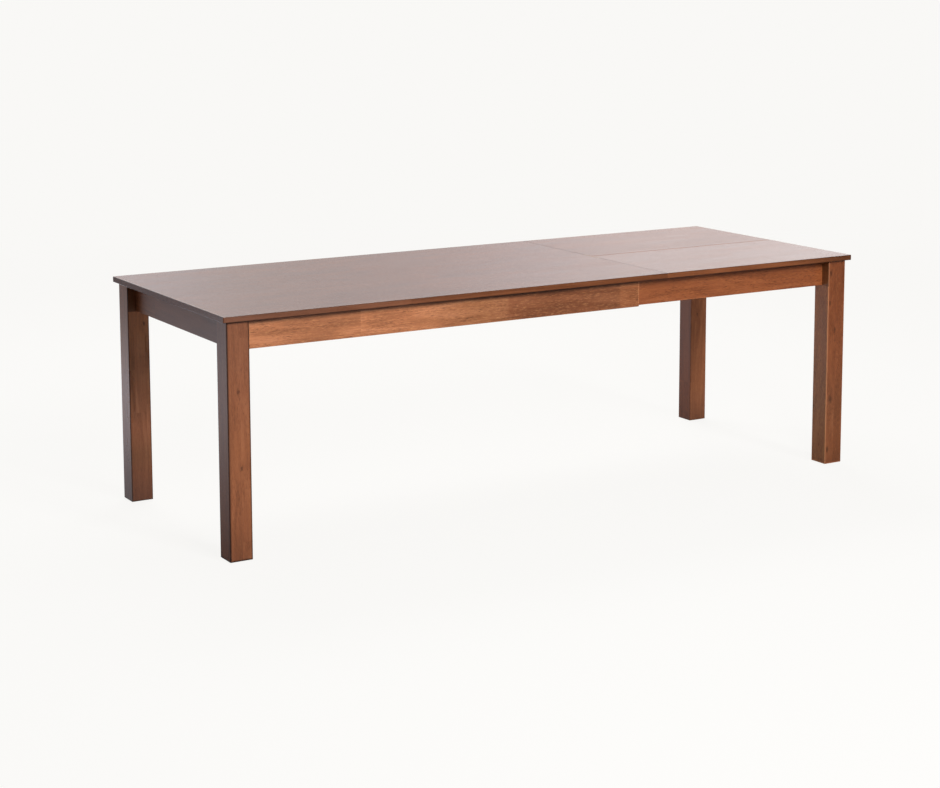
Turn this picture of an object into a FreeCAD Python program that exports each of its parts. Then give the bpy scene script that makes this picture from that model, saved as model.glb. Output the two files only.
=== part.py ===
import FreeCAD, Part
import math
import os

# Extending dining table. The right pair of legs, its end apron and two sliding aprons form a frame
# that pulls out from under the main top, and a folding two-part leaf is laid in the space.
# Millimetres. Origin: floor, centre of the extended table. +X to the pull-out end, -Y front, +Z up.
# The table is modelled pulled out, with the leaf in place.

V = FreeCAD.Vector
X_AXIS = V(1, 0, 0)
Y_AXIS = V(0, 1, 0)
Z_AXIS = V(0, 0, 1)

# Overall sizes
main_length = 1600.0
extension = 800.0
table_width = 900.0
table_height = 750.0
top_thickness = 18.0
top_edge_round = 2.0
top_under_chamfer = 1.0
top_corner_round = 4.0
seam_edge_round = 0.8

# Legs
leg_size = 74.0
leg_overhang = 15.0
leg_edge_round = 3.0
leg_inner_chamfer = 14.0
glide_radius = 14.0
glide_height = 3.0

# Aprons
apron_height = 90.0
apron_thickness = 20.0
apron_edge_round = 2.0
end_apron_setback = 30.0
fixed_apron_setback = 14.0
tenon_length = 15.0
tenon_thickness = 9.0
tenon_height = 60.0
tenon_clearance = 0.2
closing_gap = 5.0

# Slides
slide_gap = 2.0
lift_clearance = 0.3
guide_height = 70.0
guide_thickness = 20.0
guide_block_gap = 5.0
guide_seam_setback = 170.0
tongue_depth = 8.0
tongue_height = 10.0
tongue_drop = 32.0
tongue_clearance = 0.3
groove_extra_depth = 0.5
sliding_apron_length = 1200.0
groove_end_margin = 2.0

# Tie rail, stop blocks and storage bearers
tie_rail_width = 60.0
tie_rail_thickness = 15.0
stop_block_length = 30.0
stop_gap = 0.3
bearer_width = 45.0
bearer_height = 28.0
bearer_pitch = 300.0
bearer_setback = 130.0
bearer_count = 3
bearer_housing = 10.0
housing_clearance = 0.2

# Corner joints
block_height = 64.0
block_thickness = 38.0
block_end_flat = 12.0
bolt_radius = 4.0
bolt_thread_clearance = 0.05
bolt_block_clearance = 0.5
bolt_depth_in_leg = 45.0
bolt_beyond_block = 16.0
washer_radius = 12.0
washer_thickness = 1.6
nut_across_flats = 13.0
nut_height = 6.5

# Leaf
leaf_gap = 0.6
leaf_joint_gap = 0.4
pin_radius = 4.0
pin_in_top = 18.0
pin_projection = 12.0
pin_edge = 1.0
pin_inner = 150.0
pin_outer = 350.0
notch_clearance = 0.3
notch_flare = 2.2
notch_flare_height = 5.0

# Double-pin leaf hinges, let into the ends of the leaf halves
hinge_pin_offset = 3.2
hinge_pin_depth = 3.05
hinge_pin_radius = 1.25
hinge_pin_clearance = 0.05
hinge_link_thickness = 1.5
hinge_link_radius = 2.6
hinge_link_gap = 0.2
hinge_plate_length = 46.0
hinge_plate_height = 13.0
hinge_plate_thickness = 2.0
hinge_plate_round = 2.8
hinge_plate_clearance = 0.1

# Places that follow from the sizes
table_length = main_length + extension
x_left = -table_length / 2
x_seam = x_left + main_length
x_right = table_length / 2
y_edge = table_width / 2
z_top = table_height
z_under = table_height - top_thickness
z_moving = z_under - lift_clearance
z_apron = z_under - apron_height
leg_out_y = y_edge - leg_overhang
leg_in_y = leg_out_y - leg_size
left_leg_x = x_left + leg_overhang
left_leg_in_x = left_leg_x + leg_size
right_leg_x = x_right - leg_overhang
right_leg_in_x = right_leg_x - leg_size
fixed_out_y = leg_out_y - fixed_apron_setback
fixed_in_y = fixed_out_y - apron_thickness
slide_out_y = fixed_in_y - slide_gap
slide_in_y = slide_out_y - apron_thickness
guide_out_y = slide_in_y - slide_gap
guide_in_y = guide_out_y - guide_thickness
left_end_apron_in_x = left_leg_x + end_apron_setback + apron_thickness
right_end_apron_in_x = right_leg_x - end_apron_setback - apron_thickness
fixed_apron_end_x = right_leg_in_x - extension - closing_gap
guide_right = x_seam - guide_seam_setback
block_seat_depth = block_thickness * math.sqrt(2) - leg_inner_chamfer
left_block_reach = left_leg_in_x - left_end_apron_in_x + fixed_in_y - leg_in_y + block_seat_depth
guide_left = left_end_apron_in_x + left_block_reach + guide_block_gap
slide_left_x = right_leg_in_x - sliding_apron_length
z_guide = z_under - guide_height
z_tongue = z_under - tongue_drop
z_tie_top = z_apron + tie_rail_thickness
groove_right_x = guide_right + extension + groove_end_margin
z_block = z_under - apron_height / 2


def box(x0, x1, y0, y1, z0, z1):
    """A block between two corners given in any order."""
    low = V(min(x0, x1), min(y0, y1), min(z0, z1))
    return Part.makeBox(abs(x1 - x0), abs(y1 - y0), abs(z1 - z0), low)


def rod(radius, length, base, direction):
    """A plain cylinder from a point along a direction."""
    return Part.makeCylinder(radius, length, base, direction)


def prism(points, direction):
    """A straight prism: closed outline pushed along a direction."""
    wire = Part.makePolygon(points + [points[0]])
    return Part.Face(wire).extrude(direction)


def edges_where(shape, test):
    """The edges of a shape whose bounding box passes a test."""
    return [edge for edge in shape.Edges if test(edge.BoundBox)]


def round_edges(shape, radius, test):
    """A shape with the chosen edges rounded."""
    return shape.makeFillet(radius, edges_where(shape, test))


def along(axis, box_of_edge):
    """Whether an edge runs along one axis only."""
    sizes = {"x": box_of_edge.XLength, "y": box_of_edge.YLength, "z": box_of_edge.ZLength}
    run = sizes.pop(axis)
    return run > 1.0 and max(sizes.values()) < 0.01


def one_solid(shape):
    """The single solid of a boolean result."""
    return shape.removeSplitter().Solids[0]


def export(node, solids):
    """One STEP file per node."""
    shape = solids[0] if len(solids) == 1 else Part.makeCompound(solids)
    shape.exportStep("parts/" + node + ".step")


# Main top and its locating pins

z_pin = z_top - top_thickness / 2
pin_ys = (-pin_outer, -pin_inner, pin_inner, pin_outer)


def locating_pin(y):
    """A steel dowel that stands out of the main top's right edge."""
    pin = rod(pin_radius, pin_in_top + pin_projection, V(x_seam - pin_in_top, y, z_pin), X_AXIS)
    tip = x_seam + pin_projection
    return pin.makeChamfer(pin_edge, edges_where(pin, lambda b: b.XMin > tip - 0.01 and b.YLength > 1.0))


def main_top():
    body = box(x_left, x_seam, -y_edge, y_edge, z_under, z_top)
    body = round_edges(body, top_corner_round, lambda b: along("z", b) and b.XMax < x_left + 1.0)
    lower = lambda b: b.XMin < x_seam - 1.0 and b.ZMax < z_under + 0.01
    body = body.makeChamfer(top_under_chamfer, edges_where(body, lower))
    upper = lambda b: b.XMin < x_seam - 1.0 and b.ZMin > z_top - 0.01
    body = round_edges(body, top_edge_round, upper)
    seam = lambda b: along("y", b) and b.XMin > x_seam - 0.01 and b.ZMin > z_top - 0.01
    body = round_edges(body, seam_edge_round, seam)
    holes = [rod(pin_radius, pin_in_top, V(x_seam - pin_in_top, y, z_pin), X_AXIS) for y in pin_ys]
    return one_solid(body.cut(holes))


# Legs: one shape for a corner, placed by its signs

def bolt_line(end, side, x_in):
    """Middle of the leg's inner chamfer, and the way towards the middle of the table."""
    half = leg_inner_chamfer / 2
    start = V(x_in + end * half, side * (leg_in_y + half), z_block)
    return start, V(-end, -side, 0).normalize()


def leg(end, side, x_out, z_high, end_mid_x, side_mid_y):
    """A square leg with eased edges, mortises for two aprons and a chamfer for its corner block."""
    x_in = x_out - end * leg_size
    body = box(x_out, x_in, side * leg_out_y, side * leg_in_y, glide_height, z_high)
    body = round_edges(body, leg_edge_round, lambda b: along("z", b))
    z_low = z_under - apron_height / 2 - tenon_height / 2
    play = tenon_clearance
    half = tenon_thickness / 2 + play
    depth = tenon_length + 2 * play
    z0 = z_low - play
    z1 = z_low + tenon_height + play
    to_end = box(end_mid_x - half, end_mid_x + half, side * leg_in_y, side * (leg_in_y + depth), z0, z1)
    y_mid = side * side_mid_y
    to_side = box(x_in, x_in + end * depth, y_mid - half, y_mid + half, z0, z1)
    c = leg_inner_chamfer
    corner = [V(x_in, side * leg_in_y, z_apron), V(x_in + end * c, side * leg_in_y, z_apron),
              V(x_in, side * (leg_in_y + c), z_apron)]
    chamfer = prism(corner, V(0, 0, apron_height))
    start, inward = bolt_line(end, side, x_in)
    bore = rod(bolt_radius + bolt_thread_clearance, bolt_depth_in_leg + 1.0, start, -inward)
    return one_solid(body.cut([to_end, to_side, chamfer, bore]))


def foot_glide(end, side, x_out):
    """A nylon glide under the middle of a leg."""
    centre = V(x_out - end * leg_size / 2, side * (leg_out_y - leg_size / 2), 0)
    return rod(glide_radius, glide_height, centre, Z_AXIS)


# Corner blocks and their hardware

def corner_block(end, side, x_in, y_apron, x_apron):
    """A diagonal block between the inner faces of two aprons, seated on the leg's chamfer."""
    c = leg_inner_chamfer
    u_leg = abs(x_apron - x_in)
    v_leg = y_apron - leg_in_y
    reach = u_leg + v_leg + block_seat_depth
    flat = block_end_flat
    outline = [(0, v_leg), (0, reach - flat), (flat, reach - flat), (reach - flat, flat), (reach - flat, 0),
               (u_leg, 0), (u_leg, v_leg - c), (u_leg - c, v_leg)]
    z0 = z_block - block_height / 2
    points = [V(x_apron - end * u, side * (y_apron - v), z0) for u, v in outline]
    body = prism(points, V(0, 0, block_height))
    start, inward = bolt_line(end, side, x_in)
    hole = rod(bolt_radius + bolt_block_clearance, block_thickness + 2.0, start - inward, inward)
    return one_solid(body.cut(hole))


def hanger_bolt(end, side, x_in):
    """A hanger bolt screwed into the leg through its corner block."""
    start, inward = bolt_line(end, side, x_in)
    length = bolt_depth_in_leg + block_thickness + bolt_beyond_block
    return rod(bolt_radius, length, start - inward * bolt_depth_in_leg, inward)


def washer(end, side, x_in):
    start, inward = bolt_line(end, side, x_in)
    seat = start + inward * block_thickness
    disc = rod(washer_radius, washer_thickness, seat, inward)
    return disc.cut(rod(bolt_radius + bolt_block_clearance, washer_thickness, seat, inward))


def hex_nut(end, side, x_in):
    start, inward = bolt_line(end, side, x_in)
    seat = start + inward * (block_thickness + washer_thickness)
    across = Z_AXIS.cross(inward)
    corner_radius = nut_across_flats / math.sqrt(3)
    points = []
    for i in range(6):
        angle = math.radians(60 * i)
        points.append(seat + Z_AXIS * (corner_radius * math.cos(angle)) + across * (corner_radius * math.sin(angle)))
    body = prism(points, inward * nut_height)
    return body.cut(rod(bolt_radius + bolt_thread_clearance, nut_height, seat, inward))


# Aprons

def rail_with_tenons(x0, x1, y0, y1, z0, z1, axis, ends):
    """An apron along one axis, with a tenon at each named end and its two long lower edges eased."""
    body = box(x0, x1, y0, y1, z0, z1)
    low = min(z0, z1)
    body = round_edges(body, apron_edge_round, lambda b: along(axis, b) and b.ZMax < low + 0.01)
    z_low = z_under - apron_height / 2 - tenon_height / 2
    z_high = z_low + tenon_height
    half = tenon_thickness / 2
    for end in ends:
        if axis == "x":
            x = max(x0, x1) if end > 0 else min(x0, x1)
            mid = (y0 + y1) / 2
            tenon = box(x, x + end * tenon_length, mid - half, mid + half, z_low, z_high)
        else:
            y = max(y0, y1) if end > 0 else min(y0, y1)
            mid = (x0 + x1) / 2
            tenon = box(mid - half, mid + half, y, y + end * tenon_length, z_low, z_high)
        body = body.fuse(tenon)
    return body


def end_apron(end, x_in_face, z_high):
    """The apron between a pair of legs."""
    x_out_face = x_in_face + end * apron_thickness
    body = rail_with_tenons(x_in_face, x_out_face, -leg_in_y, leg_in_y, z_apron, z_high, "y", (-1, 1))
    return one_solid(body)


def fixed_apron(side):
    """The outer apron: tenoned into the left leg and fixed up to the main top."""
    body = rail_with_tenons(left_leg_in_x, fixed_apron_end_x, side * fixed_in_y, side * fixed_out_y,
                            z_apron, z_under, "x", (-1,))
    return one_solid(body)


def sliding_apron(side):
    """The inner apron: tenoned into the right leg, with a groove that runs on the guide rail's tongue."""
    body = rail_with_tenons(slide_left_x, right_leg_in_x, side * slide_in_y, side * slide_out_y,
                            z_apron, z_moving, "x", (1,))
    depth = tongue_depth - slide_gap + groove_extra_depth
    play = tongue_clearance
    groove = box(slide_left_x - 1.0, groove_right_x, side * slide_in_y, side * (slide_in_y + depth),
                 z_tongue - play, z_tongue + tongue_height + play)
    return one_solid(body.cut(groove))


# Guide rails, bearers, stops and tie rail

bearer_last = guide_right - bearer_setback
bearer_xs = [bearer_last - bearer_pitch * i for i in reversed(range(bearer_count))]
z_bearer = z_guide + bearer_height
stop_left_x = slide_left_x + tie_rail_width + stop_gap
stop_right_x = stop_left_x + stop_block_length


def guide_rail(side):
    """The rail under the main top that carries the sliding apron on its tongue."""
    body = box(guide_left, guide_right, side * guide_in_y, side * guide_out_y, z_guide, z_under)
    tongue = box(guide_left, guide_right, side * guide_out_y, side * (guide_out_y + tongue_depth),
                 z_tongue, z_tongue + tongue_height)
    half = bearer_width / 2 + housing_clearance
    depth = bearer_housing + housing_clearance
    housings = [box(x - half, x + half, side * guide_in_y, side * (guide_in_y + depth),
                    z_guide, z_bearer + housing_clearance) for x in bearer_xs]
    return one_solid(body.fuse(tongue).cut(housings))


def storage_bearer(x):
    """A cross rail, housed into both guide rails, that the folded leaf lies on when it is put away."""
    half = guide_in_y + bearer_housing
    body = box(x - bearer_width / 2, x + bearer_width / 2, -half, half, z_guide, z_bearer)
    return round_edges(body, apron_edge_round, lambda b: along("y", b) and b.ZMin > z_bearer - 0.01)


def stop_block(side):
    """The block under a guide rail that the tie rail meets when the table is fully pulled out."""
    body = box(stop_left_x, stop_right_x, side * guide_in_y, side * guide_out_y, z_apron, z_guide)
    return round_edges(body, apron_edge_round, lambda b: along("y", b) and b.ZMax < z_apron + 0.01)


def tie_rail():
    """The cross rail that keeps the free ends of the sliding aprons apart."""
    body = box(slide_left_x, slide_left_x + tie_rail_width, -slide_in_y, slide_in_y, z_apron, z_tie_top)
    return round_edges(body, apron_edge_round, lambda b: along("y", b))


# Leaf halves and their hinges

leaf_x = x_seam + leaf_gap


def notch(y):
    """The slot, open below, that drops over a locating pin. Its mouth is flared."""
    depth = pin_projection + 2 * notch_clearance
    radius = pin_radius + notch_clearance
    crown = rod(radius, depth, V(leaf_x, y, z_pin), X_AXIS)
    z_flare = z_under + notch_flare_height
    wide = radius + notch_flare
    outline = [V(leaf_x, y - wide, z_under), V(leaf_x, y - radius, z_flare), V(leaf_x, y - radius, z_pin),
               V(leaf_x, y + radius, z_pin), V(leaf_x, y + radius, z_flare), V(leaf_x, y + wide, z_under)]
    return crown.fuse(prism(outline, X_AXIS * depth))


def hinge_ends():
    """Where each hinge's plate face lies, and the way into the leaf."""
    return ((leaf_x, X_AXIS), (x_right, -X_AXIS))


def hinge_axis(side):
    """Height and place across of a hinge pin."""
    return side * hinge_pin_offset, z_top - hinge_pin_depth


def plate_outline(side, x, grow):
    """The hinge plate's outline, with its corner round at the pin."""
    y_pin, z_pin_axis = hinge_axis(side)
    radius = hinge_plate_round + grow
    y_far = y_pin + side * (hinge_plate_length + grow)
    z_low = z_pin_axis + radius - hinge_plate_height - 2 * grow
    y_joint = y_pin - side * radius
    z_high = z_pin_axis + radius
    cosine = math.cos(math.radians(45)) * radius
    arc = Part.Arc(V(x, y_pin, z_high), V(x, y_pin - side * cosine, z_pin_axis + cosine),
                   V(x, y_joint, z_pin_axis)).toShape()
    lines = [Part.LineSegment(V(x, y_joint, z_pin_axis), V(x, y_joint, z_low)).toShape(),
             Part.LineSegment(V(x, y_joint, z_low), V(x, y_far, z_low)).toShape(),
             Part.LineSegment(V(x, y_far, z_low), V(x, y_far, z_high)).toShape(),
             Part.LineSegment(V(x, y_far, z_high), V(x, y_pin, z_high)).toShape()]
    return Part.Face(Part.Wire([arc] + lines))


def hinge_plate(side, x, inward):
    """A brass plate let flush into the end of a leaf half, bored for its pin."""
    body = plate_outline(side, x, 0.0).extrude(inward * hinge_plate_thickness)
    y_pin, z_pin_axis = hinge_axis(side)
    return body.cut(rod(hinge_pin_radius + hinge_pin_clearance, hinge_plate_thickness,
                        V(x, y_pin, z_pin_axis), inward))


def hinge_link(x, inward):
    """The short link between the two pins of a hinge."""
    base = x + inward.x * (hinge_plate_thickness + hinge_link_gap)
    thickness = inward * hinge_link_thickness
    tools = []
    body = None
    for side in (-1, 1):
        y_pin, z_pin_axis = hinge_axis(side)
        centre = V(base, y_pin, z_pin_axis)
        lobe = rod(hinge_link_radius, hinge_link_thickness, centre, inward)
        body = lobe if body is None else body.fuse(lobe)
        tools.append(rod(hinge_pin_radius + hinge_pin_clearance, hinge_link_thickness, centre, inward))
    z_axis_line = hinge_axis(1)[1]
    middle = box(base, base + thickness.x, -hinge_pin_offset, hinge_pin_offset,
                 z_axis_line - hinge_link_radius, z_axis_line + hinge_link_radius)
    return one_solid(body.fuse(middle).cut(tools))


def hinge_pin(side, x, inward):
    """A pin through a plate and a link."""
    y_pin, z_pin_axis = hinge_axis(side)
    start = V(x, y_pin, z_pin_axis) + inward * hinge_link_gap
    return rod(hinge_pin_radius, hinge_plate_thickness + hinge_link_thickness, start, inward)


def hinge_pocket(side, x, inward):
    """The room in the wood for a plate and for a link that turns up."""
    plate = plate_outline(side, x, hinge_plate_clearance).extrude(inward * hinge_plate_thickness)
    y_pin, z_pin_axis = hinge_axis(side)
    high = z_top + 1.0
    far = y_pin + side * (hinge_plate_length + hinge_plate_clearance)
    open_top = box(x, x + inward.x * hinge_plate_thickness, 0, far, z_pin_axis, high)
    reach = hinge_link_radius + 2 * hinge_pin_clearance + hinge_link_gap
    depth = hinge_plate_thickness + 2 * hinge_link_gap + hinge_link_thickness
    room = box(x, x + inward.x * depth, 0, y_pin + side * reach, z_pin_axis - reach, high)
    return [plate, open_top, room]


def leaf_half(side):
    """One half of the leaf, with notches for two pins, hinge pockets and a round centre edge."""
    y_joint = side * leaf_joint_gap / 2
    body = box(leaf_x, x_right, y_joint, side * y_edge, z_under, z_top)
    outer_corner = lambda b: along("z", b) and b.XMin > x_right - 1.0 and abs(b.YMin) > 1.0
    body = round_edges(body, top_corner_round, outer_corner)
    at_end = lambda b: b.XMin > x_right - top_corner_round - 0.01
    at_side = lambda b: min(abs(b.YMin), abs(b.YMax)) > y_edge - top_corner_round - 0.01
    lower = lambda b: b.ZMax < z_under + 0.01 and (at_end(b) or at_side(b))
    body = body.makeChamfer(top_under_chamfer, edges_where(body, lower))
    joint_radius = hinge_pin_offset - leaf_joint_gap / 2
    centre_edge = lambda b: along("x", b) and abs(b.YMin) < 1.0 and b.ZMin > z_top - 0.01
    body = round_edges(body, joint_radius, centre_edge)
    upper = lambda b: b.ZMin > z_top - 0.01 and (at_end(b) or at_side(b))
    body = round_edges(body, top_edge_round, upper)
    seam = lambda b: along("y", b) and b.XMax < leaf_x + 0.01 and b.ZMin > z_top - 0.01
    body = round_edges(body, seam_edge_round, seam)
    tools = [notch(side * pin_inner), notch(side * pin_outer)]
    for x, inward in hinge_ends():
        tools += hinge_pocket(side, x, inward)
    return one_solid(body.cut(tools))


# Build every node

os.makedirs("parts", exist_ok=True)

SIDES = ((-1, "front"), (1, "back"))
ENDS = (
    (-1, "left", left_leg_x, left_leg_in_x, z_under, left_end_apron_in_x, fixed_in_y),
    (1, "right", right_leg_x, right_leg_in_x, z_moving, right_end_apron_in_x, slide_in_y),
)

export("main_top", [main_top()])
export("leaf_locating_pins", [locating_pin(y) for y in pin_ys])

for end, end_name, x_out, x_in, z_high, x_apron, y_apron in ENDS:
    x_mid = x_apron + end * apron_thickness / 2
    y_mid = y_apron + apron_thickness / 2
    for side, side_name in SIDES:
        name = end_name + "_" + side_name
        export(name + "_leg", [leg(end, side, x_out, z_high, x_mid, y_mid)])
        export(name + "_foot_glide", [foot_glide(end, side, x_out)])
        export(name + "_corner_block", [corner_block(end, side, x_in, y_apron, x_apron)])
    export(end_name + "_end_apron", [end_apron(end, x_apron, z_high)])
    export(end_name + "_corner_bolts", [hanger_bolt(end, side, x_in) for side in (-1, 1)])
    export(end_name + "_corner_washers", [washer(end, side, x_in) for side in (-1, 1)])
    export(end_name + "_corner_nuts", [hex_nut(end, side, x_in) for side in (-1, 1)])

for side, side_name in SIDES:
    export(side_name + "_fixed_apron", [fixed_apron(side)])
    export(side_name + "_sliding_apron", [sliding_apron(side)])
    export(side_name + "_guide_rail", [guide_rail(side)])
    export(side_name + "_stop_block", [stop_block(side)])
    export("leaf_" + side_name + "_half", [leaf_half(side)])
    for (x, inward), place in zip(hinge_ends(), ("inner", "outer")):
        export("leaf_" + side_name + "_hinge_plate_" + place, [hinge_plate(side, x, inward)])

for x, place in zip(bearer_xs, ("left", "middle", "right")):
    export("storage_bearer_" + place, [storage_bearer(x)])

export("tie_rail", [tie_rail()])

for (x, inward), place in zip(hinge_ends(), ("inner", "outer")):
    export("hinge_link_" + place, [hinge_link(x, inward)])
export("hinge_pins", [hinge_pin(side, x, inward) for x, inward in hinge_ends() for side in (-1, 1)])
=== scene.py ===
import math

import bmesh
import bpy
from mathutils import Matrix, Vector


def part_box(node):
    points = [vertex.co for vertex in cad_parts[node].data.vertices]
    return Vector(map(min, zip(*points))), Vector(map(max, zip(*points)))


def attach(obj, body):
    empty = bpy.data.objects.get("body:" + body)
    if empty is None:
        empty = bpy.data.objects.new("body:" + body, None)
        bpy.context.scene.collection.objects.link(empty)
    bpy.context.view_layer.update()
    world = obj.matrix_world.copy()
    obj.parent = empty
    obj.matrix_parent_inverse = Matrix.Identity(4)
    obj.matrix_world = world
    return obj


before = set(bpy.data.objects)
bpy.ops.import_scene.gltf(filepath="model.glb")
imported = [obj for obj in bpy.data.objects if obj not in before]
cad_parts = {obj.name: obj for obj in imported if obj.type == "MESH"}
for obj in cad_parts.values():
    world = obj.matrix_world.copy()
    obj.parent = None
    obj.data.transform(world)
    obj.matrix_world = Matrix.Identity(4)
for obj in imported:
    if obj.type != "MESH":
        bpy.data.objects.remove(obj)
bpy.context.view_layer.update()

# ---------------------------------------------------------------- camera

LENS = 77.555
SENSOR = 36
YAW, PITCH, ROLL = math.radians(30.649), math.radians(7.823), math.radians(0.1246)
CAMERA_AT = Vector((-3.5512, -5.8330, 1.7958))
IMAGE_WIDTH = 940
RISE = -160  # in pixels of the image


def make_camera():
    ahead = Vector((math.sin(YAW) * math.cos(PITCH), math.cos(YAW) * math.cos(PITCH), -math.sin(PITCH)))
    level = Vector((math.cos(YAW), -math.sin(YAW), 0))
    right = level * math.cos(ROLL) + ahead.cross(level) * math.sin(ROLL)
    up = -ahead.cross(right)
    data = bpy.data.cameras.new("camera")
    data.lens = LENS
    data.sensor_width = SENSOR
    data.shift_y = RISE / IMAGE_WIDTH
    data.clip_end = 200
    camera = bpy.data.objects.new("camera", data)
    turn = Matrix((right, up, -ahead)).transposed().to_4x4()
    camera.matrix_world = Matrix.Translation(CAMERA_AT) @ turn
    bpy.context.scene.collection.objects.link(camera)
    bpy.context.scene.camera = camera


make_camera()
bpy.context.scene.view_settings.view_transform = "Standard"


# ---------------------------------------------------------------- node trees

class Tree:
    """A short way to write a node tree: every call makes one node and gives back its output."""

    def __init__(self, owner):
        owner.use_nodes = True
        self.nodes = owner.node_tree.nodes
        self.links = owner.node_tree.links
        self.nodes.clear()

    def node(self, kind, inputs=(), **props):
        made = self.nodes.new(kind)
        for key, value in props.items():
            setattr(made, key, value)
        for key, value in dict(inputs).items():
            if isinstance(value, bpy.types.NodeSocket):
                self.links.new(value, made.inputs[key])
            else:
                made.inputs[key].default_value = value
        return made

    def math(self, operation, *values, clamp=False):
        return self.node("ShaderNodeMath", enumerate(values), operation=operation, use_clamp=clamp).outputs[0]

    def add(self, a, b):
        return self.math("ADD", a, b)

    def sub(self, a, b):
        return self.math("SUBTRACT", a, b)

    def mul(self, a, b):
        return self.math("MULTIPLY", a, b)

    def vector(self, x, y, z):
        return self.node("ShaderNodeCombineXYZ", {0: x, 1: y, 2: z}).outputs[0]

    def shift(self, a, b):
        return self.node("ShaderNodeVectorMath", {0: a, 1: b}, operation="ADD").outputs[0]

    def scale(self, a, b):
        return self.node("ShaderNodeVectorMath", {0: a, 1: b}, operation="MULTIPLY").outputs[0]

    def length(self, a):
        return self.node("ShaderNodeVectorMath", {0: a}, operation="LENGTH").outputs["Value"]

    def split(self, a):
        return self.node("ShaderNodeSeparateXYZ", {0: a}).outputs

    def noise(self, place, scale=1.0, detail=2.0, rough=0.5):
        values = {"Vector": place, "Scale": scale, "Detail": detail, "Roughness": rough}
        return self.node("ShaderNodeTexNoise", values).outputs[0]

    def chance(self, place):
        return self.node("ShaderNodeTexWhiteNoise", {"Vector": place}).outputs

    def ramp(self, value, stops):
        made = self.node("ShaderNodeValToRGB", {0: value})
        band = made.color_ramp
        band.elements[0].position, band.elements[0].color = stops[0][0], colour(stops[0][1])
        band.elements[1].position, band.elements[1].color = stops[-1][0], colour(stops[-1][1])
        for place, tone in stops[1:-1]:
            band.elements.new(place).color = colour(tone)
        return made.outputs[0]

    def blend(self, amount, a, b, kind="MIX"):
        values = {0: amount, 6: a, 7: b}
        made = self.node("ShaderNodeMix", values, data_type="RGBA", blend_type=kind)
        return made.outputs[2]

    def step(self, value, low, high):
        """0 below low, 1 above high, smooth between."""
        values = {0: value, 1: low, 2: high, 3: 0.0, 4: 1.0}
        return self.node("ShaderNodeMapRange", values, interpolation_type="SMOOTHSTEP").outputs[0]

    def near(self, value, place, reach, core=0.0):
        """1 within core of a place, 0 beyond reach, smooth between."""
        return self.sub(1.0, self.step(self.math("ABSOLUTE", self.sub(value, place)), core, reach))


def colour(tone):
    if isinstance(tone, (int, float)):
        return (tone, tone, tone, 1.0)
    return (tone[0], tone[1], tone[2], 1.0)


def share_of(tone, share):
    return colour([c * share for c in tone])


def finish_material(tree, surface):
    tree.node("ShaderNodeOutputMaterial", {0: surface})


# ---------------------------------------------------------------- studio

BACKGROUND = (0.947, 0.939, 0.921)
AMBIENT = 0.08

# The sky that mirror rays see, all the way round: 0 and 1 are -Y, 0.25 is -X, 0.5 is +Y and 0.75 is +X.
SKY_SWEEP = [
    (0.00, 0.12), (0.14, 0.12), (0.30, 0.80), (0.54, 1.08), (0.558, 0.965), (0.5667, 0.79), (0.5722, 0.735),
    (0.5806, 0.765), (0.5861, 0.89), (0.591, 1.05), (0.5925, 1.11), (0.597, 1.264), (0.599, 1.325), (0.603, 1.325),
    (0.606, 1.30), (0.609, 1.42), (0.612, 1.54), (0.68, 1.42), (0.80, 0.55), (0.88, 0.12), (1.00, 0.12)]
SKY_TINT = [
    (0.50, (1.00, 1.05, 1.10)), (0.556, (1.03, 1.09, 1.17)), (0.5625, (1.00, 1.07, 1.13)),
    (0.5667, (0.96, 1.03, 1.06)), (0.5797, (0.94, 1.00, 1.05)), (0.5906, (0.947, 0.97, 1.02)),
    (0.5980, (0.947, 0.938, 0.955)), (0.62, (0.955, 0.945, 0.96)), (1.00, (0.947, 0.938, 0.94))]
LOW_SKY = 1.01
HIGH_SKY_DROP = 0.09
HIGH_SKY_FROM, HIGH_SKY_FULL = 0.135, 0.185

FLOOR_HALF = 40.0
FLOOR_TONE = 0.33
FLOOR_SHOWS = 0.22
FLOOR_LIT = 0.20
SHADOW_FADES, SHADOW_ENDS = 2.2, 6.5

# The floor's own colour for the light that it throws up: bright at the right front, darker elsewhere.
FLOOR_BOUNCE = 0.95
FLOOR_BOUNCE_LEFT = 0.22
BOUNCE_X = (-1.45, -1.10)
BOUNCE_Y = (0.1, 0.8)

# What mirror rays see of the floor, from front to back.
MIRRORED_FLOOR = (0.947, 0.905, 0.975)
MIRRORED_FRONT = -2.0
MIRRORED_DEPTH = 8.0
MIRRORED_GLOW = [
    (0.0, 0.05), (0.18, 0.10), (0.24, 0.32), (0.34, 0.66), (0.42, 1.08), (0.52, 1.60), (0.60, 1.20), (0.66, 0.82),
    (0.72, 0.52), (0.76, 0.44), (1.0, 0.44)]


def seen_rays(tree):
    """Camera rays, and mirror and glass rays, which see a backdrop of their own."""
    path = tree.node("ShaderNodeLightPath").outputs
    mirror = tree.math("MAXIMUM", path["Is Glossy Ray"], path["Is Transmission Ray"])
    return path["Is Camera Ray"], mirror


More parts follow.
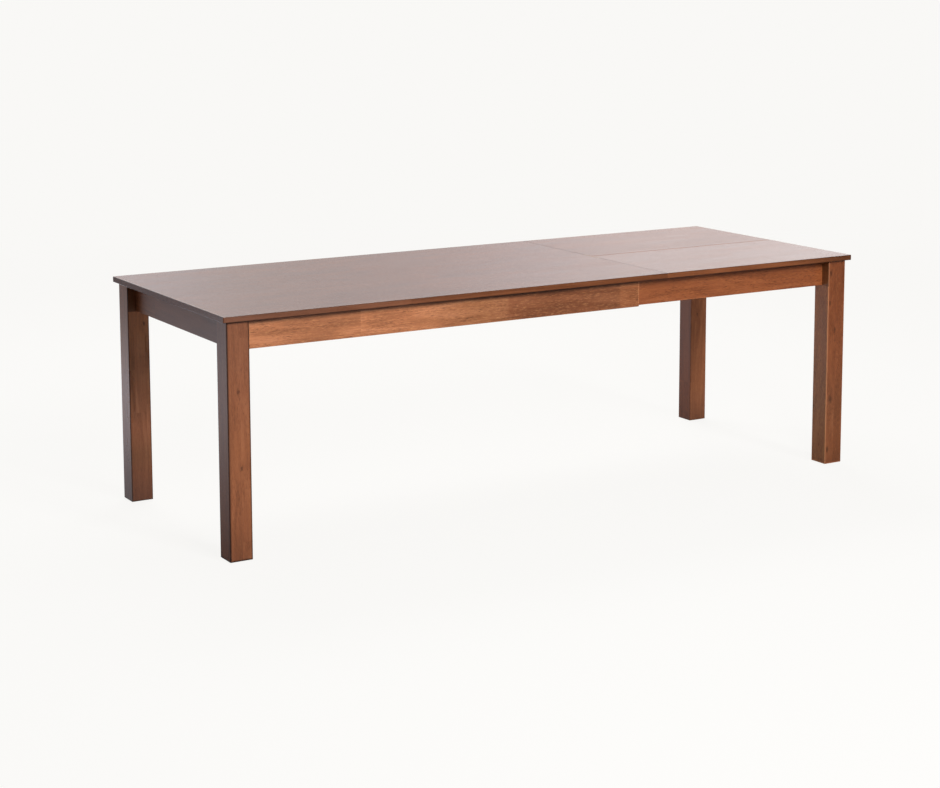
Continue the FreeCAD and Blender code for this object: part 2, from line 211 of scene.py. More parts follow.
def make_world():
    world = bpy.data.worlds.new("studio")
    bpy.context.scene.world = world
    tree = Tree(world)
    camera, mirror = seen_rays(tree)
    x, y, z = tree.split(tree.node("ShaderNodeTexCoord").outputs["Generated"])
    bearing = tree.add(tree.math("DIVIDE", tree.math("ARCTAN2", x, y), 2 * math.pi), 0.5)
    drop = tree.mul(tree.step(z, HIGH_SKY_FROM, HIGH_SKY_FULL), HIGH_SKY_DROP)
    sweep = tree.mul(tree.ramp(bearing, SKY_SWEEP), tree.sub(LOW_SKY, drop))
    level = tree.add(tree.mul(mirror, tree.sub(sweep, AMBIENT)), AMBIENT)
    level = tree.add(tree.mul(camera, tree.sub(1.0, level)), level)
    tint = tree.blend(mirror, colour(BACKGROUND), tree.ramp(bearing, SKY_TINT))
    sky = tree.node("ShaderNodeBackground", {0: tint, 1: level}).outputs[0]
    tree.node("ShaderNodeOutputWorld", {0: sky})


def make_floor():
    mesh = bpy.data.meshes.new("floor")
    outline = [(x * FLOOR_HALF, y * FLOOR_HALF, 0) for x, y in ((-1, -1), (1, -1), (1, 1), (-1, 1))]
    mesh.from_pydata(outline, [], [(0, 1, 2, 3)])
    floor = bpy.data.objects.new("floor", mesh)
    bpy.context.scene.collection.objects.link(floor)
    material = bpy.data.materials.new("floor")
    tree = Tree(material)
    camera, mirror = seen_rays(tree)
    place = tree.node("ShaderNodeTexCoord").outputs["Object"]
    x, y = tree.split(place)[:2]
    near = tree.sub(1.0, tree.step(tree.length(place), SHADOW_FADES, SHADOW_ENDS))
    shows = tree.mul(near, FLOOR_SHOWS)
    hidden = tree.mul(camera, tree.sub(1.0, shows))
    lit = tree.mul(tree.step(x, *BOUNCE_X), tree.sub(1.0, tree.step(y, *BOUNCE_Y)))
    bounce = tree.add(tree.mul(lit, FLOOR_BOUNCE - FLOOR_BOUNCE_LEFT), FLOOR_BOUNCE_LEFT)
    tone = tree.add(bounce, tree.mul(camera, tree.sub(FLOOR_TONE, bounce)))
    tone = tree.mul(tree.sub(1.0, tree.math("MAXIMUM", hidden, mirror)), tone)
    mirrored = tree.ramp(tree.math("DIVIDE", tree.sub(y, MIRRORED_FRONT), MIRRORED_DEPTH), MIRRORED_GLOW)
    glow = tree.add(tree.mul(camera, tree.sub(1.0, tree.mul(shows, FLOOR_LIT))), tree.mul(mirror, mirrored))
    matte = tree.node("ShaderNodeBsdfDiffuse", {0: tone}).outputs[0]
    tint = tree.blend(mirror, colour(BACKGROUND), colour(MIRRORED_FLOOR))
    light = tree.node("ShaderNodeEmission", {0: tint, 1: glow}).outputs[0]
    finish_material(tree, tree.node("ShaderNodeAddShader", {0: matte, 1: light}).outputs[0])
    mesh.materials.append(material)


def soft_box(name, place, aim, size, energy):
    data = bpy.data.lights.new(name, "AREA")
    data.shape = "RECTANGLE"
    data.size, data.size_y = size
    data.energy = energy
    lamp = bpy.data.objects.new(name, data)
    lamp.location = place
    lamp.rotation_euler = (Vector(aim) - Vector(place)).to_track_quat("-Z", "Y").to_euler()
    lamp.visible_camera = False
    bpy.context.scene.collection.objects.link(lamp)


make_world()
make_floor()
soft_box("key", (1.5, -9.9, 4.35), (0, 0, 0.7), (1.6, 2.6), 355)
soft_box("high_key", (1.5, -9.9, 7.40), (0, 0, 0.7), (1.6, 2.9), 250)
soft_box("left_box", (-0.9, -4.0, 2.6), (0.4, 0, 0.7), (0.8, 1.0), 70)
soft_box("back_box", (0.8, 3.0, 4.0), (0, 0, 0.6), (4.0, 1.4), 150)


# ---------------------------------------------------------------- wood

AXES = {"x": (0, 1, 2), "y": (1, 0, 2), "z": (2, 0, 1)}
ZONES_FROM, ZONES_LENGTH = -1.2, 2.4

# Noise scales along and across the grain, per metre.
FIGURE_SCALE = (1.3, 11.0, 11.0)
STRAND_SCALE = (9.0, 230.0, 230.0)
PORE_SCALE = (48.0, 1300.0, 1300.0)
CLOUD_SCALE = (3.0, 13.0, 13.0)
SPECK_SCALE = (75.0, 520.0, 520.0)
CROWD_SCALE = (9.0, 30.0, 30.0)
FIGURE_RINGS = 46.0
# Colour of the painted shade along the seam between the main top and the leaf.
SEAM_SHADE = (0.016, 0.012, 0.010)


def edge_mask(tree, xyz, low, high, reach):
    """1 along the edges of a box-shaped piece, 0 on its faces."""
    near = []
    for value, a, b in zip(xyz, low, high):
        inside = tree.math("MINIMUM", tree.sub(value, a), tree.sub(b, value))
        near.append(tree.sub(1.0, tree.step(inside, 0.0, reach)))
    pairs = [tree.mul(near[i], near[j]) for i, j in ((0, 1), (1, 2), (0, 2))]
    return tree.math("MAXIMUM", tree.math("MAXIMUM", pairs[0], pairs[1]), pairs[2])


def wood(node, grain, tones, stave=(0.9, 0.09, 1.0), seed=1.0, vary=0.16, figure=0.30, fibre=0.26, blotch=0.34,
         rough=0.36, coat=0.0, knots=(), zones=None, wear=0.30, turn=0.0, specular=0.5, crisp=((0, 0, 0), (0, 0, 0)),
         flecks=0.25, tints=(), arris=0.0035, recess=None, joints=()):
    """Stained and lacquered solid wood, glued up from staves, for one CAD node.

    grain is the axis of the grain, turned about z by turn. tones are dark, middle and light, and stave is the
    length, width and depth of one stave. Each of knots is a place along and across the grain and a radius.
    zones is a ramp of tones along the grain, from ZONES_FROM on; it paints light fall-off and shade along the piece,
    together with some of its own tone. wear makes the edges pale, in patches below 0.5 as worn edges and all along
    from 0.5 on as a painted highlight, and dark below 0 as painted shade, as far in as arris, and crisp says which
    sides of the box have no such edges. Each of tints is a tone, multiplied in where all its planes (axis, place,
    reach) are near; most of them paint shade and highlights. recess (axis, place, height, keep) is a face that is
    dark above a height: painted shade beside an apron. Each of joints (axis, place, reach) is a dashed dark line on
    the upper face along a seam: painted shade in the gap between the parts.
    """
    material = bpy.data.materials.new(node + "_wood")
    tree = Tree(material)
    place = tree.node("ShaderNodeTexCoord").outputs["Object"]
    xyz = tree.split(place)
    if turn:
        place = tree.node("ShaderNodeMapping", {"Vector": place, "Rotation": (0, 0, turn)}).outputs[0]
    parts = tree.split(place)
    u, v, w = (parts[i] for i in AXES[grain])
    along = tree.vector(u, v, w)
    dark, middle, light = tones

    # Staves: each has its own tone and its own piece of the figure.
    length, width, depth = stave
    row = tree.math("FLOOR", tree.add(tree.math("DIVIDE", v, width), 0.37 * seed))
    layer = tree.math("FLOOR", tree.add(tree.math("DIVIDE", w, depth), 0.21 * seed))
    start = tree.chance(tree.vector(row, layer, seed))[0]
    column = tree.math("FLOOR", tree.add(tree.math("DIVIDE", u, length), start))
    luck, lucky = tree.chance(tree.vector(row, tree.add(tree.mul(layer, 7.3), column), seed + 3.1))
    own = tree.scale(lucky, (9.0, 9.0, 9.0))

    def grown(scale, detail, roughness):
        """Noise that runs with the grain and differs from stave to stave."""
        return tree.noise(tree.shift(tree.scale(along, scale), own), 1.0, detail, roughness)

    # Figure: contours of a stretched field, bent round the knots.
    field = grown(FIGURE_SCALE, 2.0, 0.45)
    spot = 0.0
    for ku, kv, kw, size in knots:
        off = tree.vector(tree.math("DIVIDE", tree.sub(u, ku), size * 2.0), tree.math("DIVIDE", tree.sub(v, kv), size),
                          tree.math("DIVIDE", tree.sub(w, kw), size))
        away = tree.length(off)
        field = tree.add(field, tree.mul(tree.sub(1.0, tree.step(away, 0.0, 5.0)), 0.09))
        away = tree.add(away, tree.mul(tree.sub(tree.noise(place, 140.0, 2.0, 0.6), 0.5), 1.6))
        spot = tree.math("MAXIMUM", spot, tree.sub(1.0, tree.step(away, 0.25, 1.1)))
    rings = tree.math("SINE", tree.mul(field, FIGURE_RINGS))
    rings = tree.add(tree.mul(rings, 0.5), 0.5)
    strands = grown(STRAND_SCALE, 3.0, 0.6)
    pores = tree.step(grown(PORE_SCALE, 1.0, 0.5), 0.60, 0.72)
    cloud = grown(CLOUD_SCALE, 3.0, 0.55)

    tone = tree.add(0.5, tree.mul(tree.sub(rings, 0.5), figure))
    tone = tree.add(tone, tree.mul(tree.sub(strands, 0.5), fibre * 2.0))
    tone = tree.add(tone, tree.mul(tree.sub(cloud, 0.5), blotch * 2.0))
    tone = tree.add(tone, tree.mul(tree.sub(luck, 0.5), vary * 2.0))
    base = tree.ramp(tone, [(0.0, dark), (0.5, middle), (1.0, light)])
    # Zones paint light fall-off and shade along the piece, together with some of its own tone.
    if zones:
        place_in_zones = tree.math("DIVIDE", tree.sub(u, ZONES_FROM), ZONES_LENGTH)
        base = tree.blend(1.0, base, tree.ramp(place_in_zones, zones), "MULTIPLY")

    # Flecks, pores and knots.
    specks = grown(SPECK_SCALE, 3.0, 0.6)
    crowd = grown(CROWD_SCALE, 2.0, 0.5)
    dark_specks = tree.mul(tree.step(specks, 0.54, 0.66), tree.step(crowd, 0.36, 0.62))
    light_specks = tree.sub(1.0, tree.step(specks, 0.28, 0.48))
    base = tree.blend(tree.mul(dark_specks, flecks), base, share_of(dark, 0.45))
    pale = [min(1.0, c * share) for c, share in zip(light, (1.25, 1.45, 1.20))]
    base = tree.blend(tree.mul(light_specks, flecks * 0.5), base, colour(pale))
    base = tree.blend(tree.mul(pores, 0.45), base, share_of(dark, 0.35))
    if knots:
        base = tree.blend(tree.mul(spot, 0.60), base, share_of(dark, 0.28))

    # Edges: pale in patches as worn edges, pale all along as a painted highlight, dark as painted shade. Then tints
    # near planes, most of them painted shade and highlights, and painted shade on a recessed face.
    low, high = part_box(node)
    edge = edge_mask(tree, xyz, low - Vector(crisp[0]), high + Vector(crisp[1]), arris)
    if wear < 0:
        base = tree.blend(tree.mul(edge, -wear), base, share_of(dark, 0.22))
    else:
        if wear < 0.5:
            edge = tree.mul(edge, tree.step(tree.noise(place, 26.0, 3.0, 0.6), 0.42, 0.62))
        base = tree.blend(tree.mul(edge, wear), base, colour([min(1.0, c * 1.7 + 0.03) for c in light]))
    for tone_there, *planes in tints:
        near = 1.0
        for axis, plane, reach in planes:
            near = tree.mul(near, tree.near(xyz[axis], plane, reach))
        base = tree.blend(near, base, colour(tone_there), "MULTIPLY")
    # Painted shade on the recessed face beside an apron, above a height.
    if recess:
        axis, plane, above, keep = recess
        inside = tree.mul(tree.near(xyz[axis], plane, 0.0025, 0.0005), tree.step(xyz[2], above - 0.002, above + 0.002))
        base = tree.blend(tree.mul(inside, 1.0 - keep), base, share_of(dark, 0.1))

    gloss = tree.add(rough, tree.mul(tree.sub(cloud, 0.5), 0.10))
    gloss = tree.add(gloss, tree.mul(pores, 0.10))
    # Painted shade: a dashed dark line along the seam on the upper face, where the gap between the parts is; the line
    # is also made rough.
    for axis, plane, reach in joints:
        dashed = tree.add(tree.mul(tree.step(tree.noise(place, 55.0, 2.0, 0.6), 0.40, 0.58), 0.65), 0.35)
        line = tree.mul(tree.near(xyz[axis], plane, reach, reach * 0.5), dashed)
        line = tree.mul(line, tree.step(xyz[2], high.z - 0.003, high.z - 0.0015))
        base = tree.blend(tree.math("MULTIPLY", line, 2.4, clamp=True), base, colour(SEAM_SHADE))
        gloss = tree.add(gloss, tree.mul(line, tree.sub(0.95, gloss)))
    height = tree.sub(tree.add(tree.mul(strands, 0.5), tree.mul(rings, 0.12)), tree.mul(pores, 0.5))
    normal = tree.node("ShaderNodeBump", {"Strength": 0.22, "Distance": 0.0006, "Height": height}).outputs[0]
    shader = tree.node("ShaderNodeBsdfPrincipled", {
        "Base Color": base, "Roughness": gloss, "Normal": normal, "IOR": 1.5, "Specular IOR Level": specular,
        "Coat Weight": coat, "Coat Roughness": 0.12})
    finish_material(tree, shader.outputs[0])
    return material


def dress(node, material):
    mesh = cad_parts[node].data
    mesh.materials.clear()
    mesh.materials.append(material)
    for face in mesh.polygons:
        face.material_index = 0


def dress_in_wood(node, grain, tones, **look):
    dress(node, wood(node, grain, tones, **look))


TOP_TONES = ((0.120, 0.036, 0.014), (0.245, 0.080, 0.031), (0.350, 0.125, 0.055))
BACK_TOP_TONES = ((0.122, 0.035, 0.012), (0.253, 0.079, 0.026), (0.360, 0.123, 0.047))
LEG_TONES = ((0.155, 0.048, 0.018), (0.300, 0.096, 0.037), (0.420, 0.155, 0.066))
RIGHT_LEG_TONES = ((0.128, 0.036, 0.012), (0.248, 0.071, 0.024), (0.350, 0.119, 0.046))
APRON_TONES = ((0.220, 0.075, 0.030), (0.430, 0.155, 0.062), (0.640, 0.265, 0.125))
SLIDE_TONES = ((0.155, 0.041, 0.012), (0.298, 0.084, 0.026), (0.420, 0.135, 0.046))
END_TONES = ((0.100, 0.031, 0.012), (0.195, 0.063, 0.024), (0.280, 0.103, 0.044))
INNER_TONES = ((0.260, 0.130, 0.062), (0.420, 0.235, 0.120), (0.540, 0.330, 0.185))

# Main top and leaf.
TOP_LOW, TOP_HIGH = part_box("main_top")
SEAM = TOP_HIGH.x
FRONT_EDGE = TOP_LOW.y
LEFT_EDGE = TOP_LOW.x
UNDER = TOP_LOW.z
LEAF_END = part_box("leaf_front_half")[1].x
LEAF_SEAM = (0, SEAM + 0.0006, 0.0010)
ON_TOP = (2, TOP_HIGH.z, 0.0012)
ON_FRONT_EDGE = (1, FRONT_EDGE, 0.0015)
ON_LEFT_EDGE = (0, LEFT_EDGE, 0.0015)
# A pale line a little in from the front and left arrises on the upper face: a painted highlight.
ARRIS_IN = 0.0045
ARRIS_HIGHLIGHT = (2.2, 4.0, 7.0)
# A paler line along the fold between the leaf halves: a painted highlight.
FOLD_HIGHLIGHT = ((1.7, 3.0, 5.0), (1, 0.0, 0.0030))
# The top pieces' edges are darkened as painted shade.
TOP_LOOK = dict(stave=(1.1, 0.085, 1.0), vary=0.07, figure=0.22, fibre=0.20, blotch=0.20, rough=0.24, specular=0.22,
                wear=-0.8, arris=0.003)

# Main top: the front and left edge faces darker as painted shade, the front edge paler and cooler towards the left end
# as a painted reflection, and a painted highlight along the left arris.
dress_in_wood(
    "main_top", "x", TOP_TONES, seed=1.3, coat=0.20, crisp=((0, 0, 0), (1, 0, 0)), joints=[(0, SEAM, 0.0013)],
    tints=[(0.76, ON_FRONT_EDGE), ((1.0, 1.22, 1.75), ON_FRONT_EDGE, (0, LEFT_EDGE, 1.1)),
           (ARRIS_HIGHLIGHT, (0, LEFT_EDGE + ARRIS_IN, 0.0015), ON_TOP), ((0.90, 0.80, 0.80), ON_LEFT_EDGE)], **TOP_LOOK)
# Front leaf half: the front edge face a little darker, and much darker towards the leaf's end, as painted shade;
# painted highlights along the fold and the front arris.
dress_in_wood(
    "leaf_front_half", "x", TOP_TONES, seed=2.6, coat=0.27, crisp=((1, 0, 0), (0, 1, 0)), joints=[LEAF_SEAM],
    tints=[(0.92, ON_FRONT_EDGE), FOLD_HIGHLIGHT, (ARRIS_HIGHLIGHT, (1, FRONT_EDGE + ARRIS_IN, 0.0015), ON_TOP),
           (0.48, (0, LEAF_END, 0.35), (1, FRONT_EDGE, 0.003))], **TOP_LOOK)
dress_in_wood(
    "leaf_back_half", "x", BACK_TOP_TONES, seed=4.2, coat=0.17, crisp=((1, 1, 0), (0, 0, 0)), joints=[LEAF_SEAM],
    tints=[FOLD_HIGHLIGHT], **TOP_LOOK)

# Legs. Zones run up from the floor, and 0.5 in them is the floor; they paint light and shade up each leg, together
# with some of its own tone.
APRON_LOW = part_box("front_fixed_apron")[0].z
# Painted shade just under the top; the legs are also darker towards the floor.
LEG_ENDS = [(0.30, (2, UNDER, 0.009)), (0.78, (2, 0.0, 0.16))]


def low_side(corner, axis):
    """Where the left (axis 0) or the front (axis 1) face of a leg is."""
    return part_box(corner + "_leg")[0][axis]


LEG_LOOK = dict(stave=(0.62, 0.037, 1.0), vary=0.06, figure=0.18, blotch=0.28)
# Below 0, wear darkens a leg's edges as painted shade; the right front leg's pale edges are a painted highlight.
# recess is painted shade beside the aprons, and tints paint shade under the top.
LEGS = {
    "left_front": dict(
        tones=LEG_TONES, seed=5.2, wear=-1.0, arris=0.0075, flecks=0.48, tints=LEG_ENDS,
        knots=[(0.52, -1.150, -0.435, 0.006), (0.285, -1.143, -0.435, 0.005)],
        zones=[(0.0, 1.0), (0.50, 1.0), (0.646, (1.10, 1.11, 1.06)), (0.715, (1.0, 1.0, 1.02)),
               (0.7625, (0.87, 0.89, 0.95)), (0.783, (0.82, 0.83, 0.87)), (1.0, 0.82)]),
    "left_back": dict(
        tones=LEG_TONES, seed=6.7, wear=-0.85, arris=0.0055, flecks=0.25, rough=0.29, tints=LEG_ENDS,
        recess=(1, low_side("left_back", 1), APRON_LOW, 0.38),
        knots=[(0.60, -1.130, 0.361, 0.005)],
        zones=[(0.0, 0.62), (0.50, 0.62), (0.542, (0.78, 0.82, 0.86)), (0.565, (0.84, 0.98, 1.04)),
               (0.604, (1.37, 1.54, 1.85)), (0.640, (1.47, 1.74, 2.08)), (0.740, (1.58, 1.93, 2.06)), (1.0, 1.60)]),
    "right_front": dict(
        tones=RIGHT_LEG_TONES, seed=8.1, wear=0.58, arris=0.0055, flecks=0.75,
        # The left face is made lighter and paler as painted light.
        tints=LEG_ENDS + [((1.35, 1.65, 1.62), (0, low_side("right_front", 0), 0.002))],
        recess=(0, low_side("right_front", 0), APRON_LOW, 0.50),
        knots=[(0.236, 1.129, -0.435, 0.010), (0.690, 1.121, -0.435, 0.007), (0.582, 1.119, -0.435, 0.006),
               (0.485, 1.143, -0.435, 0.006), (0.055, 1.121, -0.435, 0.007)],
        zones=[(0.0, 1.07), (0.523, (1.07, 1.13, 1.10)), (0.592, (0.90, 1.00, 1.07)), (0.669, 1.0),
               (0.769, (0.84, 0.77, 0.68)), (1.0, (0.82, 0.74, 0.62))]),
    "right_back": dict(
        tones=RIGHT_LEG_TONES, seed=9.4, wear=-0.30, arris=0.0055, flecks=0.25, specular=0.40,
        # The left face darker as painted shade, the front face lighter and cooler as painted light.
        tints=LEG_ENDS + [((0.80, 0.83, 0.90), (0, low_side("right_back", 0), 0.002)),
                          ((1.41, 1.68, 1.85), (1, low_side("right_back", 1), 0.002))],
        recess=(0, low_side("right_back", 0), APRON_LOW, 0.50),
        knots=[(0.42, 1.140, 0.361, 0.005)]),
}
for corner, look in LEGS.items():
    dress_in_wood(corner + "_leg", "z", **LEG_LOOK, **look)

# Aprons, each from one board.
ONE_BOARD = (5.0, 0.5, 0.5)
# Zones along the aprons: on the fixed aprons painted light falling off from left to right, with a darker stretch in
# the middle; on the sliding aprons painted shade towards the right leg; on the end aprons painted light towards the
# back.
FIXED_ZONES = [(0.0, 1.15), (0.05, 1.15), (0.12, 1.07), (0.258, 1.14), (0.30, (1.0, 1.0, 0.98)),
               (0.375, (0.68, 0.645, 0.555)), (0.4155, (0.64, 0.60, 0.54)), (0.4175, (0.52, 0.44, 0.385)),
               (0.535, (0.485, 0.415, 0.37)), (0.596, (0.475, 0.405, 0.355)), (0.5975, (0.67, 0.59, 0.51)),
               (1.0, (0.67, 0.59, 0.51))]
SLIDE_ZONES = [(0.0, 1.0), (0.80, 1.0), (0.92, (0.94, 0.90, 0.86)), (1.0, (0.94, 0.90, 0.86))]
END_ZONES = [(0.0, 0.90), (0.36, 0.90), (0.50, 1.10), (0.63, 1.50), (1.0, 1.50)]
# Painted shadow of the top on each apron's upper part, and painted highlights at the ends of the fixed and sliding
# aprons.
FIXED_TINTS = [(0.20, (2, UNDER, 0.023)), (1.25, (0, 0.3045, 0.004))]
SLIDE_TINTS = [(0.25, (2, UNDER, 0.027)), (1.4, (0, 1.1095, 0.003))]
END_TINTS = [(0.45, (2, UNDER, 0.013))]
SLIDE_FACE_Y = 0.379
for side, seed, y in (("front", 3.3, -SLIDE_FACE_Y), ("back", 7.9, SLIDE_FACE_Y)):
    dress_in_wood(side + "_fixed_apron", "x", APRON_TONES, stave=ONE_BOARD, seed=seed, vary=0.04, blotch=0.30,
                  fibre=0.38, zones=FIXED_ZONES, flecks=0.68, tints=FIXED_TINTS)
    dress_in_wood(side + "_sliding_apron", "x", SLIDE_TONES, stave=ONE_BOARD, seed=seed + 1, vary=0.04, figure=0.22,
                  knots=[(0.63, y, 0.690, 0.005), (0.905, y, 0.680, 0.004)], fibre=0.40, flecks=0.75,
                  zones=SLIDE_ZONES, tints=SLIDE_TINTS)
for end, seed in (("left", 2.2), ("right", 4.8)):
    dress_in_wood(end + "_end_apron", "y", END_TONES, stave=(0.5, 0.5, 0.5), seed=seed, vary=0.08,
                  tints=END_TINTS, specular=0.43, zones=END_ZONES)

# Inner pieces of plain pale wood.
INNER_LOOK = dict(tones=INNER_TONES, stave=ONE_BOARD)
for side, seed in (("front", 1.9), ("back", 6.1)):
    dress_in_wood(side + "_guide_rail", "x", seed=seed, rough=0.5, **INNER_LOOK)
    dress_in_wood(side + "_stop_block", "x", seed=seed + 2, rough=0.5, **INNER_LOOK)
for place, seed in (("left", 1.1), ("middle", 3.7), ("right", 8.8)):
    dress_in_wood("storage_bearer_" + place, "y", seed=seed, rough=0.5, **INNER_LOOK)
dress_in_wood("tie_rail", "y", seed=5.5, rough=0.5, **INNER_LOOK)
for corner, look in LEGS.items():
    diagonal = math.radians(45 if corner in ("left_front", "right_back") else -45)
    dress_in_wood(corner + "_corner_block", "x", seed=look["seed"] + 2, rough=0.52, wear=0.1, turn=diagonal,
                  **INNER_LOOK)


# ---------------------------------------------------------------- metal and nylon

def metal(name, tone, rough, streak):
    """Plated steel or brass: fine brushing, small stains, a little dulling."""
    material = bpy.data.materials.new(name)
    tree = Tree(material)
    place = tree.node("ShaderNodeTexCoord").outputs["Object"]
    brushed = tree.noise(tree.scale(place, streak), 1.0, 2.0, 0.6)
    dull = tree.noise(place, 160.0, 4.0, 0.6)
    base = tree.blend(tree.step(dull, 0.40, 0.75), colour(tone), share_of(tone, 0.62))
    gloss = tree.add(rough, tree.mul(tree.sub(tree.add(brushed, dull), 1.0), 0.22))
    normal = tree.node("ShaderNodeBump", {"Strength": 0.12, "Distance": 0.0002, "Height": brushed}).outputs[0]
    shader = tree.node("ShaderNodeBsdfPrincipled", {
        "Base Color": base, "Metallic": 1.0, "Roughness": gloss, "Normal": normal})
    finish_material(tree, shader.outputs[0])
    return material


def nylon(name, tone):
    """Dark moulded nylon, mottled and scuffed."""
    material = bpy.data.materials.new(name)
    tree = Tree(material)
    place = tree.node("ShaderNodeTexCoord").outputs["Object"]
    mottle = tree.noise(place, 420.0, 3.0, 0.6)
    scuff = tree.step(tree.noise(tree.scale(place, (900.0, 60.0, 200.0)), 1.0, 2.0, 0.6), 0.58, 0.75)
    base = tree.blend(tree.mul(scuff, 0.5), colour(tone), share_of(tone, 2.6))
    gloss = tree.add(0.52, tree.mul(tree.sub(mottle, 0.5), 0.2))
    normal = tree.node("ShaderNodeBump", {"Strength": 0.2, "Distance": 0.0002, "Height": mottle}).outputs[0]
    shader = tree.node("ShaderNodeBsdfPrincipled", {"Base Color": base, "Roughness": gloss, "Normal": normal})
    finish_material(tree, shader.outputs[0])
    return material


STEEL = metal("zinc_plate", (0.62, 0.63, 0.62), 0.34, (900.0, 900.0, 40.0))
BRASS = metal("aged_brass", (0.34, 0.235, 0.115), 0.38, (900.0, 60.0, 900.0))
NYLON = nylon("glide_nylon", (0.055, 0.045, 0.038))

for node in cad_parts:
    if "hinge" in node:
        dress(node, BRASS)
    elif node.endswith(("_bolts", "_washers", "_nuts", "_pins")):
        dress(node, STEEL)
    elif node.endswith("_foot_glide"):
        dress(node, NYLON)


# ---------------------------------------------------------------- screws

RIM_POINTS = 24
CROSS_POINTS = 12


def screw_head(mesh, place, outward, radius, proud):
    """A countersunk head with a cross recess, just proud of the face that it is driven into."""
    outward = Vector(outward).normalized()
    frame_of_head = Matrix.Translation(place) @ outward.to_track_quat("Z", "Y").to_matrix().to_4x4()
    arm, wide, deep = radius * 0.60, radius * 0.14, proud * 0.85
    rim = [(radius * math.cos(a), radius * math.sin(a))
           for a in (math.tau * i / RIM_POINTS for i in range(RIM_POINTS))]
    cross = [(wide, wide), (wide, arm), (-wide, arm), (-wide, wide), (-arm, wide), (-arm, -wide), (-wide, -wide),
             (-wide, -arm), (wide, -arm), (wide, -wide), (arm, -wide), (arm, wide)]

    def ring(points, z, factor=1.0):
        return [mesh.verts.new(frame_of_head @ Vector((x * factor, y * factor, z))) for x, y in points]

    below = ring(rim, -proud, 0.94)
    outer = ring(rim, 0.0)
    inner = ring(rim, proud, 0.92)
    lip = ring(cross, proud)
    floor = ring(cross, proud - deep, 0.45)

    def band(a, b):
        n = len(a)
        for i in range(n):
            mesh.faces.new((a[i], a[(i + 1) % n], b[(i + 1) % n], b[i]))

    band(below, outer)
    band(outer, inner)
    band(lip, floor)
    mesh.faces.new(floor)
    mesh.faces.new(below)
    # The face between the round rim and the cross: two rim points to each point of the cross, in turn.
    start = min(range(RIM_POINTS), key=lambda i: (Vector(rim[i]) - Vector(cross[0])).length)
    order = [(start + i) % RIM_POINTS for i in range(RIM_POINTS)]
    for k in range(CROSS_POINTS):
        a, b, c = (order[(2 * k + i) % RIM_POINTS] for i in range(3))
        here, following = -k % CROSS_POINTS, -(k + 1) % CROSS_POINTS
        mesh.faces.new((inner[a], inner[b], lip[here]))
        mesh.faces.new((inner[b], inner[c], lip[following], lip[here]))


def screws(name, body, spots, radius=0.0042, proud=0.0004, material=STEEL):
    mesh = bmesh.new()
    for place, outward in spots:
        screw_head(mesh, Vector(place), outward, radius, proud)
    bmesh.ops.recalc_face_normals(mesh, faces=mesh.faces)
    data = bpy.data.meshes.new(name)
    mesh.to_mesh(data)
    mesh.free()
    data.materials.append(material)
    piece = bpy.data.objects.new(name, data)
    bpy.context.scene.collection.objects.link(piece)
    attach(piece, body)


DOWN = (0, 0, -1)


def span(low, high, count):
    return [low + (high - low) * (i + 0.5) / count for i in range(count)]


# Aprons, guide rails, bearers and stop blocks are all screwed from below.
APRON_SCREW_START = 0.05
RAIL_SCREW_INWARD = 0.004
STOP_SCREW_IN = 0.008
BEARER_SCREW_IN = (0.012, 0.030)

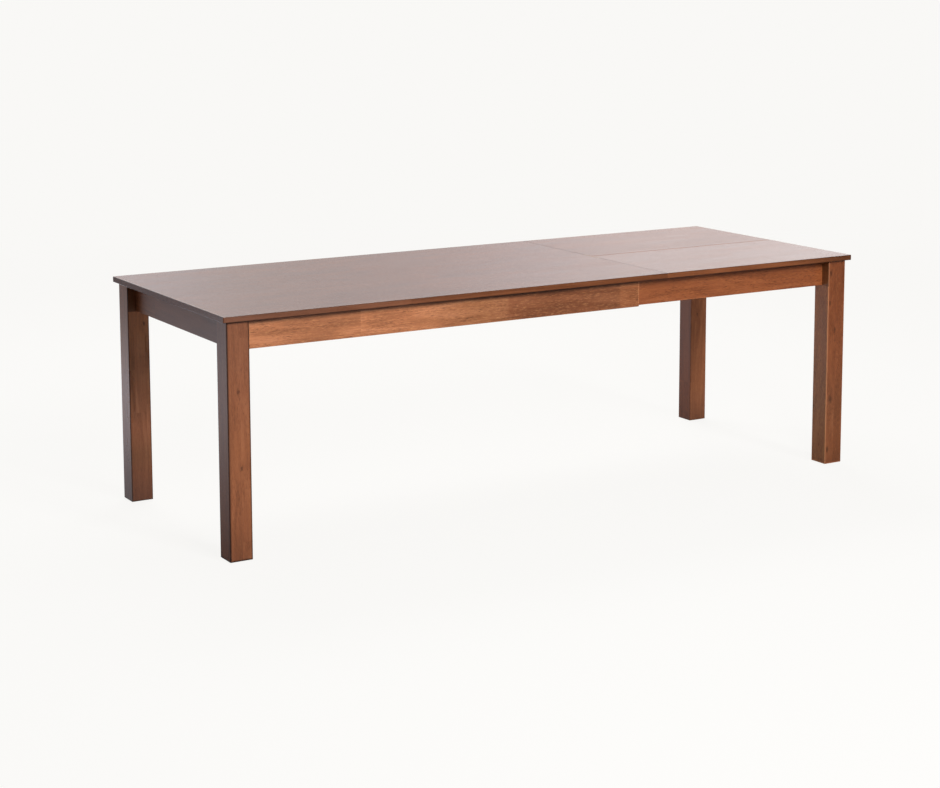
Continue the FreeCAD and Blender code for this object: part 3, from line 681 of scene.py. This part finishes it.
apron_spots, rail_spots, bearer_spots, stop_spots = [], [], [], []
for side, inward in (("front", 1), ("back", -1)):
    low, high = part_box(side + "_fixed_apron")
    apron_spots += [((x, (low.y + high.y) / 2, low.z), DOWN) for x in span(low.x + APRON_SCREW_START, high.x, 5)]
    low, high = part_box(side + "_guide_rail")
    rail_mid = (low.y + high.y) / 2 + inward * RAIL_SCREW_INWARD
    rail_spots += [((x, rail_mid, low.z), DOWN) for x in span(low.x, high.x, 6)]
    low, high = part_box(side + "_stop_block")
    stop_spots += [((x, (low.y + high.y) / 2, low.z), DOWN) for x in (low.x + STOP_SCREW_IN, high.x - STOP_SCREW_IN)]
for place in ("left", "middle", "right"):
    low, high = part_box("storage_bearer_" + place)
    in_x, in_y = BEARER_SCREW_IN
    for y in (low.y + in_y, high.y - in_y):
        bearer_spots += [((x, y, low.z), DOWN) for x in (low.x + in_x, high.x - in_x)]
screws("apron_screws", "fixed_frame", apron_spots)
screws("guide_rail_screws", "fixed_frame", rail_spots)
screws("bearer_screws", "fixed_frame", bearer_spots, 0.0038)
screws("stop_block_screws", "fixed_frame", stop_spots, 0.0036)

# Corner blocks: four screws through the long face of each, round the washer.
WASHER_RADIUS = 0.012
WASHER_HALF = 0.0008
BLOCK_SCREW_ALONG = 0.030
BLOCK_SCREW_UP = 0.018

for end, body in (("left", "fixed_frame"), ("right", "end_frame")):
    spots = []
    washer_low, washer_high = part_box(end + "_corner_washers")
    for side, sign in (("front", -1), ("back", 1)):
        low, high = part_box(f"{end}_{side}_corner_block")
        way = Vector((1 if end == "left" else -1, -sign, 0)).normalized()
        along = Vector((way.y, -way.x, 0))
        mid_y = washer_low.y if sign < 0 else washer_high.y
        seat_x = (washer_low.x + washer_high.x) / 2
        near = abs(mid_y) - WASHER_RADIUS / math.sqrt(2)
        seat = Vector((seat_x, sign * near, (low.z + high.z) / 2))
        seat = seat - way * WASHER_HALF
        spots += [(seat + along * a + Vector((0, 0, b)), way)
                  for a in (-BLOCK_SCREW_ALONG, BLOCK_SCREW_ALONG) for b in (-BLOCK_SCREW_UP, BLOCK_SCREW_UP)]
    screws(end + "_corner_block_screws", body, spots)

# Hinge plates: two small brass screws in each.
HINGE_SCREW_SHARES = (0.40, 0.82)

for side, sign in (("front", -1), ("back", 1)):
    spots = []
    for place, way in (("inner", -1), ("outer", 1)):
        low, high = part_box(f"leaf_{side}_hinge_plate_{place}")
        x = low.x if way < 0 else high.x
        z = (low.z + high.z) / 2
        for share in HINGE_SCREW_SHARES:
            reach = low.y + (high.y - low.y) * share if sign > 0 else high.y - (high.y - low.y) * share
            spots.append(((x, reach, z), (way, 0, 0)))
    screws(f"leaf_{side}_hinge_screws", f"leaf_{side}", spots, 0.0030, 0.00005, BRASS)
